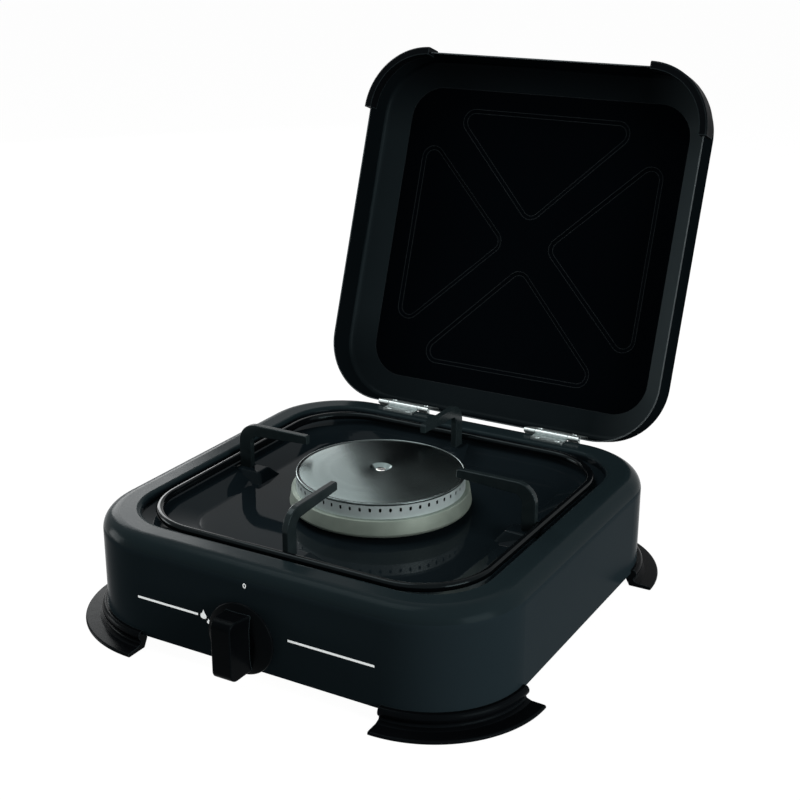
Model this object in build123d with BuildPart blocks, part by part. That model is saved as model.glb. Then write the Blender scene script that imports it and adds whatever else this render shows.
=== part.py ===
"""Single-burner table-top gas hob with a hinged lid, shown with the lid standing open.

Millimetres, +Z up. The origin is on the table, under the middle of the body.
The control panel faces -Y and the lid is hinged along the back, at +Y.
"""
from build123d import *
from math import atan, atan2, cos, degrees, radians, sin, sqrt, tan
import os

os.makedirs("parts", exist_ok=True)

# ------------------------------------------------------------------ driving dimensions
# Clearances
rotate_gap = 0.05       # radial gap of a shaft or pin that turns
seat_gap = 0.05         # gap of a moulded piece round the sheet it grips
screw_gap = 0.1         # radial gap of a screw in its clearance hole
side_gap = 0.3          # gap between faces that slide past each other

# Body: one drawn sheet with the well pressed into its top
body_side = 300.0
body_height = 67.0
body_corner = 62.0
body_sheet = 1.0
body_roll = 11.5        # radius of the rolled outer top edge
top_border = 24.0       # from the body's side to the lip of the well
well_corner = 41.5
well_lip = 3.5          # radius of the lip
well_step = 6.0         # depth at which the straight wall turns into the slope
well_depth = 14.7
well_floor = 193.0      # width of the flat floor
well_floor_corner = 28.0
well_bend = 9.0         # radius between slope and floor
boss_height = 6.7       # pads under the pan support
boss_top_width = 13.0
boss_base_width = 26.0
boss_top_start = 97.0   # distance from the middle to the pad's inner edge
boss_base_start = 91.0
boss_run_out = 20.0     # the pads run on into the well's wall, this far from the side
boss_round = 3.0
tab_width = 26.0        # turned-in corner tabs that carry the feet
tab_reach = 24.0

# Feet
foot_height = 9.2       # the body's lower edge above the table
foot_flange = 15.5      # how far the flange stands out past the body
foot_tip = 2.6          # thickness of the flange at its tip
foot_root = 4.0         # and where it meets the neck
foot_slope = 3.6        # width of the steeper slope at its root
foot_neck = 2.4         # how far the neck stands out past the body
foot_bead = 4.2         # how far the bead over the neck stands out
foot_collar = 3.1       # how far the collar reaches up the body
foot_spigot = 7.0       # height of the rim that stands inside the body
foot_spigot_wall = 2.4
foot_tab_thickness = 3.5
foot_screw = 4.0        # thread diameter
foot_screw_edge = 7.0       # from the screw to the end of the foot's tab

# Lid: a pressed tray, drawn in its open position
hinge_y = 142.5
hinge_z_over_top = 2.0  # hinge axis above the body's top
lid_open_angle = 108.67
lid_width = 275.6
lid_depth = 275.5
lid_corner = 47.0
lid_sheet = 0.8
lid_skirt = 26.0        # straight part of the skirt
lid_roll = 6.0
lid_height = 34.0
lid_panel_inset = 20.5
lid_rim_over_axis = 3.0     # closed, the rim lies this far above the hinge axis
press_depth = 1.0       # four rounded triangles pressed into the lid
press_slope = 3.0       # width of their sloped walls
press_apex = 16.0       # apex from the lid's middle
press_base = 102.0      # base from the lid's middle
press_half_base = 84.0
press_corner = 10.0
buffer_wall = 3.0
buffer_grip = 11.0      # how far a buffer reaches up the skirt
buffer_inner_grip = 5.0
buffer_inner_wall = 2.0
closed_gap = 0.1        # buffer to body with the lid shut

# Hinges
hinge_width = 44.0
hinge_margin = 5.8      # from a leaf's edge to the bend of the lid's corner
hinge_end_knuckle = 9.0
hinge_pin = 2.0
hinge_leaf = 1.0        # leaf thickness, which is also the wall of the knuckles
hinge_body_reach = 11.0
hinge_lid_reach = 17.0
hinge_rivet = 2.5
hinge_rivet_head = 4.4
hinge_rivet_high = 0.5
hinge_rivet_edge = 3.4      # rivet to the free edge of the leaf on the body
body_rivet_spread = 8.0     # rivets to the middle of the hinge, on the body
lid_rivet_spread = 14.0     # and on the lid
lid_rivet_depth = 8.0       # rivets below the lid's rim
stop_width = 2.4

# Pan support
support_wire = 5.6
support_margin = 4.4    # wire to the wall of the well
support_corner = 45.5
support_wire_height = 2.8   # wire centre below the body's top
prong_thickness = 4.5
prong_leg = 10.0
prong_tip = 58.5
prong_rise = 25.0       # top of the prongs above the body's top
prong_tip_height = 6.0
prong_arm_height = 8.3
prong_bend = 14.0

# Burner
cup_mouth = 121.2
cup_belly = 124.0
cup_rim = 15.6          # rim above the floor
cup_belly_height = 5.4
cup_seat = 100.0
cup_neck = 77.0
cup_depth = 12.0        # depth of the bowl under the floor
cup_wall = 3.0
ring_outer = 115.0
ring_wall = 3.0
ring_height = 9.1
ring_spigot = 4.5
port_count = 54
port_width = 1.7
port_height = 2.8
port_rise = 4.7         # height of a port's lower edge above the cup
hub_radius = 9.0
spoke_width = 6.0
cap_outer = 115.4
cap_sheet = 1.6
cap_rim = 0.9           # radius of the rolled edge
cap_dome = 4.0          # height of the dome over the ring
cap_dish = 15.0         # mouth of the conical dish pressed into the middle of the cap
cap_dish_floor = 8.4
cap_dish_sheet = 0.8
cap_screw_head = 7.0
cap_screw_high = 1.8    # height of the head
cap_screw_thread = 4.0
cap_screw_length = 8.0
bowl_screw = 4.0
bowl_screw_circle = 90.0
bowl_screw_grip = 3.2   # length in the cup

# Gas way
tap_x = -7.6
tube_outer = 24.0
tube_wall = 2.0
tube_bend = 16.0
tube_drop = 2.3         # straight length between the bowl and the bend
tube_flange = 44.0
tube_flange_thickness = 3.0
bell_outer = 34.0
bell_length = 16.0
bell_mouth_gap = 8.0    # mouth of the tube past the injector's tip
injector_length = 18.0
injector_hex = 11.0
injector_orifice = 0.8
tap_barrel = 20.0
tap_length = 28.0
tap_plate = 24.0
tap_plate_thickness = 3.0
tap_neck = 12.0
tap_neck_length = 3.5
tap_back_wall = 3.0
ear_thickness = 5.0
ear_width = 10.0        # ears and plate reach this much past the screws, in all
bonnet_screw = 3.0
bonnet_screw_head = 5.4
bonnet_screw_sink = 1.6
chamber = 12.4
chamber_depth = 12.0
plug_length = 12.7
plug_taper = 0.05       # change of radius per length
plug_way = 2.6
plug_slot = 5.3
inlet_back = 19.0       # side inlet behind the panel plate
inlet_boss = 13.0
inlet_reach = 22.0
nut_thickness = 2.5
panel_nut_hex = 19.0
spindle = 6.0
spindle_front = 20.5    # spindle end ahead of the panel
spindle_flat = 1.4
spindle_shoulder = 10.0
shoulder_thickness = 1.5
tang_thickness = 2.0
tang_reach = 2.2
spring_wire = 0.8
spring_mean = 9.2
spring_turns = 5
pipe_outer = 8.0
pipe_wall = 1.0
pipe_bend = 16.0
pipe_run_x = -60.0
union_hex = 15.0
union_length = 10.0
union_floor = 3.0       # thickness of the nut behind the pipe's end
union_thread = 11.0
nozzle_hex = 18.0
nozzle_flange = 5.0
nozzle_neck = 13.0
nozzle_nut = 4.0
nozzle_outer = 10.0
nozzle_bore = 5.0
nozzle_reach = 25.0
nozzle_barb = 1.2

# Knob
knob_travel = 3.0
knob_skirt = 47.6
knob_skirt_thickness = 1.8
knob_gap = 3.6          # skirt to panel
knob_dome = 26.0        # flat top of the low dome on the skirt
knob_dome_height = 2.9
knob_recess = 25.0
knob_recess_depth = 3.4
knob_grip_height = 40.6
knob_grip_base = 37.0
knob_grip_width = 14.0
knob_grip_base_width = 18.6
knob_front = 25.0       # front of the grip ahead of the panel
knob_nose = 5.5         # rounding of the grip's ends, seen from the side
knob_edge = 1.0
knob_fit = 0.03         # radial gap of the knob on the spindle

# ------------------------------------------------------------------ derived places
half = body_side / 2
well_opening = body_side - 2 * top_border
support_half = well_opening / 2 - support_margin - support_wire / 2     # wire centre line to the middle
hinge_x = lid_width / 2 - lid_corner - hinge_margin - hinge_width / 2
body_top = foot_height + body_height
floor_z = body_top - well_depth
under_floor = floor_z - body_sheet
corner_at = half - body_corner
hinge_z = body_top + hinge_z_over_top
bowl_bottom = floor_z - cup_depth
tap_z = bowl_bottom - tube_drop - tube_bend
panel_y = -half
panel_back = panel_y + body_sheet
back_wall = half - body_sheet

CORNERS = {
    "front_left": (-1, -1),
    "front_right": (1, -1),
    "back_left": (-1, 1),
    "back_right": (1, 1),
}


def finish(piece, label):
    """Label a finished piece and write its file."""
    piece.part.label = label
    export_step(piece.part, f"parts/{label}.step")


# ------------------------------------------------------------------ body
boss_end = half - boss_run_out
slope_angle = atan((well_depth - well_step) / ((well_opening - well_floor) / 2))


def boss_form(inset, bottom_z):
    """One rounded pad under the pan support, drawn in by inset from its outer skin."""
    with BuildPart() as pad:
        with BuildSketch(Plane.XY.offset(bottom_z - 0.5)):
            with Locations(((boss_base_start + inset / 2 + boss_end) / 2, 0)):
                Rectangle(boss_end - boss_base_start - inset / 2, boss_base_width - inset)
        with BuildSketch(Plane.XY.offset(bottom_z + boss_height)):
            with Locations(((boss_top_start + inset / 2 + boss_end) / 2, 0)):
                Rectangle(boss_end - boss_top_start - inset / 2, boss_top_width - inset)
        loft()
        upper = pad.edges().filter_by(lambda e: e.center().Z > bottom_z and e.center().X < boss_end - 0.1)
        fillet(upper, boss_round - inset)
    return pad.part


def body_form(inset):
    """The body as a closed form, drawn in by inset from its outer skin."""
    step_z = body_top - well_step - inset * tan((radians(90) - slope_angle) / 2)
    bottom_z = floor_z - inset
    floor_grow = inset * tan(slope_angle / 2)
    with BuildPart() as form:
        with BuildSketch(Plane.XY.offset(foot_height)):
            RectangleRounded(body_side - 2 * inset, body_side - 2 * inset, body_corner - inset)
        extrude(amount=body_height - inset)
        fillet(form.edges().group_by(Axis.Z)[-1], body_roll - inset)
        with BuildSketch(Plane.XY.offset(step_z)):
            RectangleRounded(well_opening + 2 * inset, well_opening + 2 * inset, well_corner + inset)
        extrude(amount=body_top - step_z, mode=Mode.SUBTRACT)
        lip = form.edges().group_by(Axis.Z)[-1].filter_by(
            lambda e: max(abs(e.center().X), abs(e.center().Y)) < well_opening / 2 + inset + 0.1
        )
        fillet(lip, well_lip - inset)
        with BuildSketch(Plane.XY.offset(bottom_z)):
            width = well_floor + 2 * floor_grow
            RectangleRounded(width, width, well_floor_corner + floor_grow)
        with BuildSketch(Plane.XY.offset(step_z)):
            RectangleRounded(well_opening + 2 * inset, well_opening + 2 * inset, well_corner + inset)
        loft(mode=Mode.SUBTRACT)
        bend = form.edges().filter_by_position(Axis.Z, bottom_z - 0.01, bottom_z + 0.01)
        fillet(bend, well_bend + inset)
        pad = boss_form(inset, bottom_z)
        for side in range(4):
            add(Rotation(0, 0, 90 * side) * pad)
    return form.part


tab_middle = body_corner - body_sheet - tab_reach / 2
foot_screw_at = body_corner - body_sheet - tab_reach * 0.7
rivet_y = hinge_y - hinge_body_reach + hinge_rivet_edge

outer_form = body_form(0)
inner_form = body_form(body_sheet)

with BuildPart() as body_shell:
    add(outer_form)
    add(inner_form, mode=Mode.SUBTRACT)
    # turned-in tabs at the lower edge of each corner
    for sx, sy in CORNERS.values():
        with BuildSketch(Plane.XY.offset(foot_height)):
            with Locations((sx * corner_at, sy * corner_at)):
                Circle(body_corner - body_sheet / 2)
            turn = degrees(atan2(sy, sx))
            spot = (body_corner - tab_reach / 2) / sqrt(2)
            with Locations((sx * (corner_at + spot), sy * (corner_at + spot))):
                Rectangle(tab_reach, tab_width, rotation=turn, mode=Mode.INTERSECT)
        extrude(amount=body_sheet)
        with BuildSketch(Plane.XY.offset(foot_height)):
            spot = foot_screw_at / sqrt(2)
            with Locations((sx * (corner_at + spot), sy * (corner_at + spot))):
                Circle(foot_screw / 2)
        extrude(amount=body_sheet, mode=Mode.SUBTRACT)
    # hole for the burner bowl and for its screws
    with BuildSketch(Plane.XY.offset(under_floor)):
        Circle(cup_neck / 2 + side_gap)
        with PolarLocations(bowl_screw_circle / 2, 3, 90):
            Circle(bowl_screw / 2 + screw_gap)
    extrude(amount=body_sheet, mode=Mode.SUBTRACT)
    # hole for the tap in the front panel and for the hose nozzle in the back wall
    with BuildSketch(Plane.XZ.offset(half - body_sheet)):
        with Locations((tap_x, tap_z)):
            Circle(tap_neck / 2 + screw_gap)
    extrude(amount=body_sheet, mode=Mode.SUBTRACT)
    with BuildSketch(Plane.XZ.offset(-half)):
        with Locations((pipe_run_x, tap_z)):
            Circle(nozzle_neck / 2 + screw_gap)
    extrude(amount=body_sheet, mode=Mode.SUBTRACT)
    # rivet holes under the hinges
    with BuildSketch(Plane.XY.offset(body_top - body_sheet)):
        with Locations(*[(s * hinge_x + d, rivet_y) for s in (-1, 1) for d in (-body_rivet_spread, body_rivet_spread)]):
            Circle(hinge_rivet / 2)
    extrude(amount=body_sheet, mode=Mode.SUBTRACT)
finish(body_shell, "body_shell")

# ------------------------------------------------------------------ feet
flange_r = body_corner + foot_flange
neck_r = body_corner + foot_neck
bead_r = body_corner + foot_bead
collar_r = body_corner + seat_gap       # inner face of the collar, round the body
collar_top = foot_height + foot_collar
spigot_r = body_corner - body_sheet - side_gap
wall_r = spigot_r - foot_spigot_wall    # inner face of the foot

with BuildPart() as foot_front_right:
    # the section runs round the corner, from the side of the body to its front
    with BuildSketch(Plane((corner_at, -corner_at, 0), x_dir=(1, 0, 0), z_dir=(0, -1, 0))):
        with BuildLine():
            Line((wall_r, foot_height), (wall_r, foot_height - foot_tab_thickness))
            Line((wall_r, foot_height - foot_tab_thickness), (body_corner - 0.5, 0))
            Line((body_corner - 0.5, 0), (flange_r - foot_tip / 2, 0))
            ThreePointArc(
                (flange_r - foot_tip / 2, 0),
                (flange_r, foot_tip / 2),
                (flange_r - foot_tip / 2, foot_tip),
            )
            Line((flange_r - foot_tip / 2, foot_tip), (neck_r + foot_slope, foot_tip + 0.3))
            Line((neck_r + foot_slope, foot_tip + 0.3), (neck_r + 0.6, foot_root))
            ThreePointArc(
                (neck_r + 0.6, foot_root),
                (neck_r, (foot_root + foot_height) / 2 - 1.2),
                (neck_r + 0.8, foot_height - 2.6),
            )
            ThreePointArc(
                (neck_r + 0.8, foot_height - 2.6),
                (bead_r, foot_height - 1),
                (bead_r - 0.6, collar_top - 0.9),
            )
            ThreePointArc(
                (bead_r - 0.6, collar_top - 0.9),
                (bead_r - 1.4, collar_top - 0.2),
                (collar_r + 1, collar_top),
            )
            Line((collar_r + 1, collar_top), (collar_r, collar_top))
            Line((collar_r, collar_top), (collar_r, foot_height))
            Line((collar_r, foot_height), (wall_r, foot_height))
        make_face()
    revolve(axis=Axis((corner_at, -corner_at, 0), (0, 0, -1)), revolution_arc=90)
    # rim that stands inside the body, left out where the body's tab comes in
    with BuildSketch(Plane.XY.offset(foot_height)):
        with Locations((corner_at, -corner_at)):
            Circle(spigot_r)
            Circle(spigot_r - foot_spigot_wall, mode=Mode.SUBTRACT)
            Rectangle(2 * flange_r, 2 * flange_r, align=(Align.MIN, Align.MAX), mode=Mode.INTERSECT)
        with Locations((corner_at + body_corner / sqrt(2), -corner_at - body_corner / sqrt(2))):
            Rectangle(
                3 * foot_spigot_wall + 8, tab_width + 2 * side_gap, rotation=-45, mode=Mode.SUBTRACT
            )
    extrude(amount=foot_spigot)
    # tab under the body's tab, with its screw hole
    with BuildSketch(Plane.XY.offset(foot_height - foot_tab_thickness)):
        reach = (wall_r + 1 + foot_screw_at - foot_screw_edge) / 2
        with Locations((corner_at + reach / sqrt(2), -corner_at - reach / sqrt(2))):
            Rectangle(wall_r + 1 - foot_screw_at + foot_screw_edge, tab_width - 4, rotation=-45)
    extrude(amount=foot_tab_thickness)
    spot = foot_screw_at / sqrt(2)
    with BuildSketch(Plane.XY.offset(foot_height)):
        with Locations((corner_at + spot, -corner_at - spot)):
            Circle(foot_screw / 2 + screw_gap)
    extrude(amount=-foot_tab_thickness, mode=Mode.SUBTRACT)
finish(foot_front_right, "foot_front_right")

with BuildPart() as foot_front_left:
    add(foot_front_right.part.mirror(Plane.YZ))
finish(foot_front_left, "foot_front_left")

with BuildPart() as foot_back_right:
    add(foot_front_right.part.mirror(Plane.XZ))
finish(foot_back_right, "foot_back_right")

with BuildPart() as foot_back_left:
    add(foot_front_left.part.mirror(Plane.XZ))
finish(foot_back_left, "foot_back_left")

with BuildPart() as foot_screws:
    screw_spot = corner_at + foot_screw_at / sqrt(2)
    with BuildSketch(Plane.XY.offset(foot_height - foot_tab_thickness)):
        with Locations(*[(sx * screw_spot, sy * screw_spot) for sx, sy in CORNERS.values()]):
            Circle(foot_screw)
    extrude(amount=-0.6 * foot_screw)
    with BuildSketch(Plane.XY.offset(foot_height - foot_tab_thickness)):
        with Locations(*[(sx * screw_spot, sy * screw_spot) for sx, sy in CORNERS.values()]):
            Circle(foot_screw / 2)
    extrude(amount=foot_tab_thickness + body_sheet + foot_screw)
finish(foot_screws, "foot_screws")

# ------------------------------------------------------------------ burner
cup_top = floor_z + cup_rim
ring_r = ring_outer / 2
spigot_bottom = cup_top - ring_spigot
cup_inner = ring_r - ring_wall - 2.5    # width of the chamber under the ring
gas_hole = tube_outer / 2 - tube_wall
rebate_r = ring_r - 0.3
injector_tip = panel_back + tap_plate_thickness + tap_length + injector_length
mouth_y = injector_tip + bell_mouth_gap
tube_turn = degrees(atan2(tap_x, mouth_y))      # the tube points from the burner to the tap
tube_screw_at = tube_flange / 2 - 2.5

with BuildPart() as burner_cup:
    with BuildSketch(Plane.XZ):
        with BuildLine():
            Polyline(
                (gas_hole, bowl_bottom),
                (cup_neck / 2, bowl_bottom),
                (cup_neck / 2, floor_z),
                (cup_seat / 2, floor_z),
                (cup_seat / 2, floor_z + 2.2),
                (cup_belly / 2 - 3, floor_z + cup_belly_height - 1.8),
            )
            ThreePointArc(
                (cup_belly / 2 - 3, floor_z + cup_belly_height - 1.8),
                (cup_belly / 2 - 0.7, floor_z + cup_belly_height - 0.9),
                (cup_belly / 2, floor_z + cup_belly_height + 0.8),
            )
            Polyline(
                (cup_belly / 2, floor_z + cup_belly_height + 0.8),
                (cup_mouth / 2, cup_top - 0.5),
                (cup_mouth / 2 - 0.5, cup_top),
                (rebate_r + 0.5, cup_top),
                (rebate_r + 0.1, cup_top - 0.4),
                (rebate_r + 0.1, spigot_bottom),
                (cup_inner, spigot_bottom),
                (cup_inner, floor_z + cup_belly_height),
                (cup_neck / 2 - cup_wall, floor_z + 3),
                (cup_neck / 2 - cup_wall, bowl_bottom + cup_wall),
                (gas_hole, bowl_bottom + cup_wall),
                (gas_hole, bowl_bottom),
            )
        make_face()
    revolve(axis=Axis.Z)
    # screw holes in the seat and in the bottom, from below
    with BuildSketch(Plane.XY.offset(floor_z)):
        with PolarLocations(bowl_screw_circle / 2, 3, 90):
            Circle(bowl_screw / 2)
    extrude(amount=bowl_screw_grip, mode=Mode.SUBTRACT)
    with BuildSketch(Plane.XY.offset(bowl_bottom)):
        with PolarLocations(tube_screw_at, 2, tube_turn):
            Circle(bowl_screw / 2)
    extrude(amount=cup_wall, mode=Mode.SUBTRACT)
finish(burner_cup, "burner_cup")

with BuildPart() as burner_screws:
    with BuildSketch(Plane.XY.offset(under_floor)):
        with PolarLocations(bowl_screw_circle / 2, 3, 90):
            Circle(bowl_screw * 0.9)
    extrude(amount=-0.6 * bowl_screw)
    with BuildSketch(Plane.XY.offset(under_floor)):
        with PolarLocations(bowl_screw_circle / 2, 3, 90):
            Circle(bowl_screw / 2)
    extrude(amount=body_sheet + bowl_screw_grip)
finish(burner_screws, "burner_screws")

ring_top = cup_top + ring_height
with BuildPart() as burner_port_ring:
    with BuildSketch(Plane.XZ):
        with BuildLine():
            Polyline(
                (ring_r - ring_wall - 2, spigot_bottom),
                (rebate_r, spigot_bottom),
                (rebate_r, cup_top),
                (ring_r, cup_top),
                (ring_r, ring_top),
                (ring_r - ring_wall, ring_top),
                (ring_r - ring_wall, cup_top + 2),
                (ring_r - ring_wall - 2, cup_top),
                close=True,
            )
        make_face()
    revolve(axis=Axis.Z)
    # hub for the cap's screw, on three spokes
    with BuildSketch(Plane.XY.offset(cup_top)):
        Circle(hub_radius)
    extrude(amount=ring_height)
    with BuildSketch(Plane.XY.offset(cup_top)):
        with PolarLocations((ring_r - ring_wall) / 2, 3, 30):
            Rectangle(ring_r - ring_wall, spoke_width)
    extrude(amount=ring_spigot)
    with BuildSketch(Plane.XY.offset(cup_top)):
        Circle(cap_screw_thread / 2)
    extrude(amount=ring_height, mode=Mode.SUBTRACT)
    # flame ports
    port_z = cup_top + port_rise + port_height / 2
    with BuildSketch(Plane((0, 0, port_z), x_dir=(0, 1, 0), z_dir=(1, 0, 0))) as port:
        SlotOverall(port_height, port_width, rotation=90)
    one_port = extrude(to_extrude=port.sketch, amount=ring_r + 1, mode=Mode.PRIVATE)
    with BuildSketch(Plane.XY.offset(port_z - port_height)):
        Circle(ring_r - ring_wall - 1)
    port_core = extrude(amount=2 * port_height, mode=Mode.PRIVATE)
    cutter = one_port - port_core
    for n in range(port_count):
        add(Rotation(0, 0, 360 / port_count * n) * cutter, mode=Mode.SUBTRACT)
finish(burner_port_ring, "burner_port_ring")

cap_r = cap_outer / 2
cap_top = ring_top + cap_dome
cap_seat_r = ring_r - ring_wall - 1
dish_floor = ring_top + cap_dish_sheet
with BuildPart() as burner_cap:
    with BuildSketch(Plane.XZ):
        with BuildLine():
            Line((0, ring_top + cap_dome - cap_sheet), (0, cap_top))
            ThreePointArc(
                (0, cap_top),
                (cap_r * 0.55, ring_top + cap_rim + (cap_dome - cap_rim) * 0.72),
                (cap_r - 2.4, ring_top + cap_rim + 0.5),
            )
            Line((cap_r - 2.4, ring_top + cap_rim + 0.5), (cap_r - 1.6, ring_top + 2 * cap_rim - 0.2))
            ThreePointArc(
                (cap_r - 1.6, ring_top + 2 * cap_rim - 0.2),
                (cap_r, ring_top + cap_rim),
                (cap_r - 0.9, ring_top),
            )
            Line((cap_r - 0.9, ring_top), (cap_seat_r, ring_top))
            Line((cap_seat_r, ring_top), (0, ring_top + cap_dome - cap_sheet))
        make_face()
    revolve(axis=Axis.Z)
    # conical dish that brings the cap down onto the hub, for its screw
    with BuildSketch(Plane.XZ):
        with BuildLine():
            Polyline(
                (0, ring_top),
                (cap_dish_floor / 2 + cap_dish_sheet, ring_top),
                (cap_dish / 2 + cap_dish_sheet + 0.6, ring_top + cap_dome - cap_sheet - 0.4),
                (cap_dish / 2 + cap_dish_sheet + 0.6, cap_top - 0.5),
                (0, cap_top - 0.5),
                close=True,
            )
        make_face()
    revolve(axis=Axis.Z)
    with BuildSketch(Plane.XZ):
        with BuildLine():
            Polyline(
                (0, ring_top - 1),
                (cap_screw_thread / 2 + screw_gap, ring_top - 1),
                (cap_screw_thread / 2 + screw_gap, dish_floor),
                (cap_dish_floor / 2, dish_floor),
                (cap_dish / 2, cap_top),
                (cap_dish / 2, cap_top + 1),
                (0, cap_top + 1),
                close=True,
            )
        make_face()
    revolve(axis=Axis.Z, mode=Mode.SUBTRACT)
finish(burner_cap, "burner_cap")

with BuildPart() as burner_cap_screw:
    with BuildSketch(Plane.XY.offset(dish_floor - cap_screw_length)):
        Circle(cap_screw_thread / 2)
    extrude(amount=cap_screw_length)
    with BuildSketch(Plane.XY.offset(dish_floor)):
        Circle(cap_screw_head / 2)
    extrude(amount=cap_screw_high)
    fillet(burner_cap_screw.edges().group_by(Axis.Z)[-1], cap_screw_high / 2)
    with BuildSketch(Plane.XY.offset(dish_floor + cap_screw_high)):
        Rectangle(cap_screw_head + 1, 1.2, rotation=35)
    extrude(amount=-cap_screw_high / 2, mode=Mode.SUBTRACT)
finish(burner_cap_screw, "burner_cap_screw")

# ------------------------------------------------------------------ tap
plate_front = panel_back
plate_back = plate_front + tap_plate_thickness
neck_front = panel_y - tap_neck_length
barrel_back = plate_back + tap_length
chamber_back = plate_back + chamber_depth
plug_r = chamber / 2 - 0.4
plug_back = chamber_back + plug_length
inlet_y = plate_front + inlet_back
tap_radial = Plane((tap_x, 0, tap_z), x_dir=(1, 0, 0), z_dir=(0, 0, 1))
tap_axis = Axis((tap_x, 0, tap_z), (0, 1, 0))


def facing_back(y):
    """Plane square to the tap's axis at y, facing +Y, with its y axis up."""
    return Plane((tap_x, y, tap_z), x_dir=(-1, 0, 0), z_dir=(0, 1, 0))


with BuildPart() as tap_body:
    with BuildSketch(tap_radial):
        with BuildLine():
            Polyline(
                (0, plate_back),
                (tap_barrel / 2, plate_back),
                (tap_barrel / 2, barrel_back - 2),
                (tap_barrel / 2 - 2, barrel_back),
                (0, barrel_back),
                close=True,
            )
        make_face()
    revolve(axis=tap_axis)
    # ears that take the bonnet's screws, and the side inlet
    with BuildSketch(facing_back(plate_back)):
        SlotOverall(tap_plate + ear_width, tap_barrel * 0.5, rotation=90)
    extrude(amount=ear_thickness)
    with BuildSketch(Plane((tap_x, inlet_y, tap_z), x_dir=(0, 1, 0), z_dir=(-1, 0, 0))):
        Circle(inlet_boss / 2)
    extrude(amount=inlet_reach - union_length)
    with BuildSketch(Plane((tap_x, inlet_y, tap_z), x_dir=(0, 1, 0), z_dir=(-1, 0, 0))):
        Circle(union_thread / 2)
    extrude(amount=inlet_reach)
    # spring chamber and tapered seat of the plug
    with BuildSketch(tap_radial):
        with BuildLine():
            Polyline(
                (0, plate_back),
                (chamber / 2, plate_back),
                (chamber / 2, chamber_back),
                (plug_r + rotate_gap, chamber_back),
                (plug_r + rotate_gap - plug_length * plug_taper, plug_back + side_gap),
                (0, plug_back + side_gap),
                close=True,
            )
        make_face()
    revolve(axis=tap_axis, mode=Mode.SUBTRACT)
    with BuildSketch(facing_back(plug_back)):
        Circle(plug_way / 2)
    extrude(amount=barrel_back - plug_back, mode=Mode.SUBTRACT)
    with BuildSketch(facing_back(barrel_back - tap_back_wall)):
        Circle(injector_hex * 0.36)
    extrude(amount=tap_back_wall, mode=Mode.SUBTRACT)
    with BuildSketch(Plane((tap_x - plug_r * 0.7, inlet_y, tap_z), x_dir=(0, 1, 0), z_dir=(-1, 0, 0))):
        Circle(plug_way / 2)
    extrude(amount=inlet_reach, mode=Mode.SUBTRACT)
    with BuildSketch(facing_back(plate_back)):
        with Locations((0, tap_plate / 2), (0, -tap_plate / 2)):
            Circle(bonnet_screw / 2)
    extrude(amount=ear_thickness, mode=Mode.SUBTRACT)
finish(tap_body, "tap_body")

with BuildPart() as tap_bonnet:
    with BuildSketch(facing_back(plate_front)):
        SlotOverall(tap_plate + ear_width, tap_plate, rotation=90)
    extrude(amount=tap_plate_thickness)
    with BuildSketch(facing_back(neck_front)):
        Circle(tap_neck / 2)
    extrude(amount=plate_front - neck_front)
    with BuildSketch(facing_back(neck_front)):
        Circle(spindle / 2 + rotate_gap)
    extrude(amount=plate_back - neck_front, mode=Mode.SUBTRACT)
    with BuildSketch(tap_radial):
        with BuildLine():
            Polyline(
                (0, plate_front),
                (bonnet_screw_head / 2 + screw_gap, plate_front),
                (bonnet_screw / 2 + screw_gap, plate_front + bonnet_screw_sink),
                (bonnet_screw / 2 + screw_gap, plate_back),
                (0, plate_back),
                close=True,
            )
        make_face()
    sink = revolve(axis=tap_axis, mode=Mode.PRIVATE)
    add(Pos(0, 0, tap_plate / 2) * sink, mode=Mode.SUBTRACT)
    add(Pos(0, 0, -tap_plate / 2) * sink, mode=Mode.SUBTRACT)
finish(tap_bonnet, "tap_bonnet")

with BuildPart() as tap_bonnet_screws:
    for lift in (tap_plate / 2, -tap_plate / 2):
        with BuildSketch(Plane((tap_x, 0, tap_z + lift), x_dir=(1, 0, 0), z_dir=(0, 0, 1))):
            with BuildLine():
                Polyline(
                    (0, plate_front),
                    (bonnet_screw_head / 2, plate_front),
                    (bonnet_screw / 2, plate_front + bonnet_screw_sink),
                    (bonnet_screw / 2, plate_back + ear_thickness),
                    (0, plate_back + ear_thickness),
                    close=True,
                )
            make_face()
        revolve(axis=Axis((tap_x, 0, tap_z + lift), (0, 1, 0)))
finish(tap_bonnet_screws, "tap_bonnet_screws")

with BuildPart() as tap_panel_nut:
    with BuildSketch(facing_back(panel_y - nut_thickness)):
        RegularPolygon(panel_nut_hex / 2, 6, major_radius=False)
        Circle(tap_neck / 2, mode=Mode.SUBTRACT)
    extrude(amount=nut_thickness)
finish(tap_panel_nut, "tap_panel_nut")

with BuildPart() as tap_plug:
    with BuildSketch(tap_radial):
        with BuildLine():
            Polyline(
                (0, chamber_back),
                (plug_r, chamber_back),
                (plug_r - plug_length * plug_taper, plug_back),
                (0, plug_back),
                close=True,
            )
        make_face()
    revolve(axis=tap_axis)
    # slot for the spindle's tang, then the gas way: along the axis and out to one side
    with BuildSketch(facing_back(chamber_back)):
        Rectangle(2 * plug_r, tang_thickness + 2 * rotate_gap)
    extrude(amount=plug_slot, mode=Mode.SUBTRACT)
    with BuildSketch(facing_back(plug_back)):
        Circle(plug_way / 2)
    extrude(amount=-(plug_back - inlet_y), mode=Mode.SUBTRACT)
    with BuildSketch(Plane((tap_x, inlet_y, tap_z))):
        Circle(plug_way / 2)
    extrude(amount=plug_r + 1, mode=Mode.SUBTRACT)
finish(tap_plug, "tap_plug")

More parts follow.
